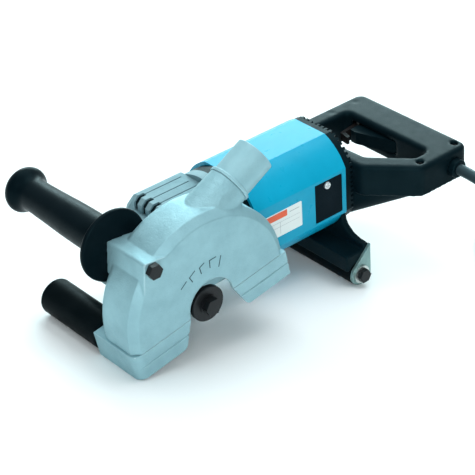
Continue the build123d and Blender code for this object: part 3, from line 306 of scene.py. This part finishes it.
materials_by_node = {
    ALLOY: "guard_shell front_foot rear_foot",
    ALLOY_FINE: "dust_nozzle",
    ALLOY_DULL: "gear_housing bearing_box",
    BLUE: "motor_housing",
    PANEL: "brush_cover_near brush_cover_far",
    BLACK: "handle_upper handle_lower rear_ring adapter_ring rear_bracket trigger brush_holders"
    " rear_bearing_spider switch_body cooling_fan shaft_lock cord_gland",
    GRIP: "side_grip grip_flange",
    ROLLER: "front_roller rear_roller",
    LEVER: "lock_lever",
    LABEL: "rating_plate",
    EAR_STEEL: "bracket_ears",
    ZINC: "rear_axle_washers rear_axle_nut bracket_screw front_roller_axle handle_pins"
    " bearing_box_screws shaft_lock_spring brush_springs",
    SCREW_WHITE: "brush_cover_screws",
    DARK_STEEL: "clamp_bolt outer_flange inner_flange grip_bolt handle_screws rear_axle_bolt",
    GROUND: "spindle armature_shaft armature_bearing_front armature_bearing_rear spindle_bearing"
    " pinion bevel_gear",
    CORE: "stator armature_core",
    COPPER: "armature_windings commutator",
    BRONZE: "spindle_bush",
    CARBON: "carbon_brushes",
    RUBBER: "cord cord_coil cord_tie plug",
}
for finish, names in materials_by_node.items():
    for name in names.split():
        nodes[name].data.materials.clear()
        nodes[name].data.materials.append(finish)


# ---- mesh tools ---------------------------------------------------------------------------------
def link(name, data, body, finish):
    """Puts a mesh or curve in the scene as a piece that rides on a body."""
    piece = bpy.data.objects.new(name, data)
    bpy.context.scene.collection.objects.link(piece)
    data.materials.clear()
    data.materials.append(finish)
    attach(piece, body)
    return piece


def baked(piece):
    """Applies a piece's modifiers to its mesh."""
    bpy.context.view_layer.update()
    evaluated = piece.evaluated_get(bpy.context.evaluated_depsgraph_get())
    result = bpy.data.meshes.new_from_object(evaluated)
    piece.modifiers.clear()
    piece.data = result
    return piece


def mesh_from(bm, name):
    """A mesh from a bmesh drawn in the machine's frame in millimetres."""
    bmesh.ops.scale(bm, vec=(MM, MM, MM), verts=bm.verts)
    bmesh.ops.transform(bm, matrix=machine, verts=bm.verts)
    bmesh.ops.recalc_face_normals(bm, faces=bm.faces)
    data = bpy.data.meshes.new(name)
    bm.to_mesh(data)
    bm.free()
    for polygon in data.polygons:
        polygon.use_smooth = True
    return data


def cast(name, sources, body, finish, voxel, rounds, plugs=()):
    """A piece with the soft edges of a casting or moulding, in place of its CAD nodes.

    Each plug closes a hole: its x, y, lower and upper z, and radius, in the machine's frame.
    """
    shape = bmesh.new()
    for source in sources:
        shape.from_mesh(nodes[source].data)
    for x, y, low, high, radius in plugs:
        bmesh.ops.create_cone(
            shape,
            cap_ends=True,
            segments=32,
            radius1=radius * MM,
            radius2=radius * MM,
            depth=(high - low) * MM,
            matrix=machine @ Matrix.Translation(Vector((x, y, (low + high) / 2)) * MM),
        )
    data = bpy.data.meshes.new(name)
    shape.to_mesh(data)
    shape.free()
    piece = link(name, data, body, finish)
    remesh = piece.modifiers.new("remesh", "REMESH")
    remesh.mode = "VOXEL"
    remesh.voxel_size = voxel * MM
    remesh.use_smooth_shade = True
    relax = piece.modifiers.new("relax", "SMOOTH")
    relax.factor = 0.5
    relax.iterations = rounds
    baked(piece)
    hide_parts(*sources)
    return piece


def round_corner(piece, low, high, radius):
    """Rounds the upright corner between a piece's front and near walls, given by its two ends."""
    low = at(*low)
    upright = (at(*high) - low).normalized()
    along = Vector((0, 1, 0)).cross(upright).normalized()
    across = Vector((0, 1, 0))
    centre = low + (along + across) * radius * MM
    for vertex in piece.data.vertices:
        offset = vertex.co - centre
        sideways = Vector((offset.dot(along), offset.dot(across)))
        if max(sideways) < 0 and sideways.length > radius * MM:
            pull = sideways * (1 - radius * MM / sideways.length)
            vertex.co -= along * pull.x + across * pull.y
    piece.data.update()


def soften(name, width=0.6, segments=2, angle=35):
    """Rounds a CAD node's sharp edges with a modifier."""
    bevel = nodes[name].modifiers.new("bevel", "BEVEL")
    bevel.width = width * MM
    bevel.segments = segments
    bevel.limit_method = "ANGLE"
    bevel.angle_limit = radians(angle)
    bevel.harden_normals = False


# ---- cord ---------------------------------------------------------------------------------------
CORD_RADIUS = 5.5 * MM
cord_points = [
    (0.18682, -0.0972, 0.10766),
    (0.18686, -0.1392, 0.1076),
    (0.1886, -0.1722, 0.084),
    (0.2012, -0.1875, 0.045),
    (0.2320, -0.1975, 0.0204),
    (0.2830, -0.2020, 0.0055),
]
COIL_X, COIL_Y = 0.301, -0.131
COIL_ENTRY = -75.0           # degrees round the coil where the cord meets it
COIL_STEPS = 24              # points in each turn
STEP_OVER = 1 / 6            # share of a turn that the cord takes to step over to the next
coil_radii = (69, 58, 47, 47, 58, 69)      # each turn's radius and height, in millimetres
coil_heights = (5.5, 5.5, 5.5, 16.2, 16.2, 16.2)


def coil_point(degrees_round, radius, height):
    """A point of the coil, in the row frame."""
    angle = radians(degrees_round)
    return (COIL_X + radius * MM * cos(angle), COIL_Y + radius * MM * sin(angle), height * MM)


for index in range(len(coil_radii) * COIL_STEPS + 1):
    turn, part = divmod(index, COIL_STEPS)
    share = min(1, part / COIL_STEPS / STEP_OVER) if turn else 1
    before = max(turn - 1, 0)
    turn = min(turn, len(coil_radii) - 1)
    radius = coil_radii[before] + share * (coil_radii[turn] - coil_radii[before])
    height = coil_heights[before] + share * (coil_heights[turn] - coil_heights[before])
    cord_points.append(coil_point(COIL_ENTRY + 360 * index / COIL_STEPS, radius, height))
last_turn = ((-60, 65.5, 20), (-45, 60.5, 25), (-30, 58, 27), (-15, 58, 27), (0, 58, 27))
for degrees_round, radius, height in last_turn:
    cord_points.append(coil_point(degrees_round, radius, height))
cord_curve = bpy.data.curves.new("supply_cord", "CURVE")
cord_curve.dimensions = "3D"
cord_curve.bevel_depth = CORD_RADIUS
cord_curve.bevel_resolution = 6
cord_curve.resolution_u = 8
cord_curve.use_fill_caps = True
cord_spline = cord_curve.splines.new("NURBS")
cord_spline.points.add(len(cord_points) - 1)
for point, place in zip(cord_spline.points, cord_points):
    point.co = (*place, 1)
cord_spline.order_u = 3
cord_spline.use_endpoint_u = True
supply_cord = link("supply_cord", cord_curve, "frame", RUBBER)
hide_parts("cord", "cord_coil")


def measured_length(curve):
    """Length of a curve object's centreline."""
    bare = curve.data.copy()
    bare.bevel_depth = 0
    probe = bpy.data.objects.new("probe", bare)
    bpy.context.scene.collection.objects.link(probe)
    bpy.context.view_layer.update()
    evaluated = probe.evaluated_get(bpy.context.evaluated_depsgraph_get())
    line = bpy.data.meshes.new_from_object(evaluated)
    ends = [[line.vertices[index].co for index in edge.vertices] for edge in line.edges]
    total = sum((first - second).length for first, second in ends)
    bpy.data.objects.remove(probe)
    bpy.data.meshes.remove(line)
    bpy.data.curves.remove(bare)
    return total


print("cord length", round(measured_length(supply_cord), 3))

# ---- castings and mouldings ---------------------------------------------------------------------
cast("guard_casting", ["guard_shell"], "guard", ALLOY, 0.7, 4)
front_foot = cast("front_foot_casting", ["front_foot"], "guard", ALLOY, 0.5, 2)
round_corner(front_foot, low=(-77.8, -100, -43.0), high=(-82.2, -100, -17.4), radius=10)
cast("rear_foot_casting", ["rear_foot"], "guard", ALLOY, 0.5, 2)
cast("nozzle_casting", ["dust_nozzle"], "guard", ALLOY_FINE, 0.5, 2)
far_recesses = [(x, 37, 19, 24.6, 5.5) for x in (273, 304)]
handle_shells = ["handle_upper", "handle_lower"]
cast("handle_moulding", handle_shells, "frame", BLACK, 1.1, 14, far_recesses)
cast("bracket_moulding", ["rear_bracket"], "frame", BLACK, 0.8, 3)
for name in "outer_flange clamp_bolt grip_bolt rear_axle_bolt bracket_ears front_roller".split():
    soften(name)
soften("gear_housing", 0.5, 2)
soften("motor_housing", 0.9, 3)


def prism(shape, outline, low, high, axis):
    """Adds a prism to a bmesh: an outline of points across an axis, between two stations on it."""
    rings = []
    for station in (low, high):
        ring = []
        for first, second in outline:
            place = (first, station, second) if axis == "Y" else (first, second, station)
            ring.append(shape.verts.new(place))
        rings.append(ring)
    count = len(outline)
    shape.faces.new(rings[0])
    shape.faces.new(rings[1])
    for index in range(count):
        after = (index + 1) % count
        shape.faces.new((rings[0][index], rings[0][after], rings[1][after], rings[1][index]))


def flat_piece(name, shape, body, finish):
    """Links a hard-edged bmesh piece drawn in the machine's frame."""
    data = mesh_from(shape, name)
    for polygon in data.polygons:
        polygon.use_smooth = False
    return link(name, data, body, finish)


# ---- air outlets --------------------------------------------------------------------------------
VENT_PITCH = 11.0
VENT_HALF = 2.45
GROOVE_HALF = 0.6
CASE_FRONT = 20.0
CASE_TOP = 44.5
# A black block fills each outlet slot below its rim: painted shade for the dark inside of the
# slot.
vent_shade_blocks = bmesh.new()
lines = bmesh.new()
for index in range(-2, 3):
    middle = index * VENT_PITCH
    profile = [
        (CASE_FRONT + 2, CASE_TOP - 12.9),
        (CASE_FRONT + 2, CASE_TOP - 5.2),
        (CASE_FRONT + 6, CASE_TOP - 1.8),
        (CASE_FRONT + 10.9, CASE_TOP - 1.8),
        (CASE_FRONT + 10.9, CASE_TOP - 4.2),
        (CASE_FRONT + 23.5, CASE_TOP - 4.6),
        (CASE_FRONT + 23.5, CASE_TOP - 12.9),
    ]
    prism(vent_shade_blocks, profile, middle - VENT_HALF, middle + VENT_HALF, "Y")
    strip = [(CASE_FRONT + 11, CASE_TOP - 0.75), (CASE_FRONT + 11, CASE_TOP - 0.35)]
    strip += [(CASE_FRONT + 52, CASE_TOP - 0.35), (CASE_FRONT + 52, CASE_TOP - 0.75)]
    prism(lines, strip, middle - GROOVE_HALF, middle + GROOVE_HALF, "Y")
# The black slot blocks are painted shade inside the outlets.
flat_piece("vent_painted_shade", vent_shade_blocks, "frame", BLACK)
flat_piece("groove_shade", lines, "frame", SHADE)

# ---- marks cast into the guard's face: a broken arrow for the wheels' turn, in painted shadow ---
MARK_HALF = 0.45
MARK_NEAR, MARK_FAR = -100.15, -99.2
stroke_shadows = bmesh.new()
arrow_strokes = [
    ((-27.6, 28.7), (-21.7, 33.5)),
    ((-18.1, 35.6), (-12.3, 39.8)),
    ((-18.1, 35.6), (-15.2, 30.3)),
    ((-6.8, 40.3), (-1.8, 43.0)),
    ((-6.8, 40.3), (-5.3, 34.1)),
    ((4.3, 42.6), (11.2, 43.2)),
    ((4.3, 42.6), (4.4, 35.6)),
    ((16.7, 41.8), (13.9, 32.4)),
]
for (start_x, start_z), (end_x, end_z) in arrow_strokes:
    along_stroke = Vector((end_x - start_x, end_z - start_z)).normalized() * MARK_HALF
    side_step = Vector((-along_stroke.y, along_stroke.x))
    start = Vector((start_x, start_z)) - along_stroke
    end = Vector((end_x, end_z)) + along_stroke
    corners = [start + side_step, end + side_step, end - side_step, start - side_step]
    prism(stroke_shadows, [tuple(corner) for corner in corners], MARK_NEAR, MARK_FAR, "Y")
# Each stroke is a thin dark strip on the face: painted shadow for the shaded side of a raised
# stroke.
flat_piece("arrow_stroke_shadows", stroke_shadows, "guard", SHADE)

# ---- floor and light ----------------------------------------------------------------------------
floor_mesh = bpy.data.meshes.new("floor")
floor_shape = bmesh.new()
bmesh.ops.create_grid(floor_shape, x_segments=1, y_segments=1, size=6)
floor_shape.to_mesh(floor_mesh)
floor_shape.free()
floor = bpy.data.objects.new("floor", floor_mesh)
bpy.context.scene.collection.objects.link(floor)
PALE, PALER = (0.96, 0.955, 0.95), (0.97, 0.965, 0.96)
floor_finish = material("floor_paint", PALE, 0.7)
tint(floor_finish, ramp(floor_finish, noise(floor_finish, 3), 0, 1), PALE, PALER)
floor_mesh.materials.append(floor_finish)

world = bpy.data.worlds.new("studio")
world.use_nodes = True
sky = world.node_tree
view = sky.nodes.new("ShaderNodeTexCoord")
facing = sky.nodes.new("ShaderNodeVectorMath")
facing.operation = "DOT_PRODUCT"
facing.inputs[1].default_value = Vector((0.45, 0.50, 0.74)).normalized()
level = sky.nodes.new("ShaderNodeMapRange")
level.inputs["From Min"].default_value = -0.1
level.inputs["From Max"].default_value = 0.8
level.inputs["To Min"].default_value = 0.10
level.inputs["To Max"].default_value = 0.85
sky.links.new(view.outputs["Generated"], facing.inputs[0])
sky.links.new(facing.outputs["Value"], level.inputs["Value"])
sky.links.new(level.outputs["Result"], sky.nodes["Background"].inputs["Strength"])
sky.nodes["Background"].inputs["Color"].default_value = (0.82, 0.96, 1.0, 1)
bpy.context.scene.world = world


def area_light(name, place, aim, size, power, color=(1, 1, 1)):
    """A soft box that faces a point."""
    data = bpy.data.lights.new(name, "AREA")
    data.shape = "RECTANGLE"
    data.size, data.size_y = size
    data.energy = power
    data.color = color
    light = bpy.data.objects.new(name, data)
    bpy.context.scene.collection.objects.link(light)
    direction = Vector(aim) - Vector(place)
    turned = direction.to_track_quat("-Z", "Y").to_matrix().to_4x4()
    light.matrix_world = Matrix.Translation(place) @ turned
    return light


area_light("top_box", (0.1, 0.1, 1.6), (0, 0, 0.1), (1.6, 1.2), 16, (0.92, 0.98, 1.0))
area_light("front_box", (-1.1, -1.3, 0.75), (0, 0, 0.06), (0.8, 0.6), 15.5, (0.90, 0.98, 1.0))
area_light("back_box", (1.25, 1.35, 0.95), (0, 0, 0.1), (1.7, 0.7), 34, (0.72, 0.98, 1.0))
bpy.context.scene.view_settings.view_transform = "Standard"
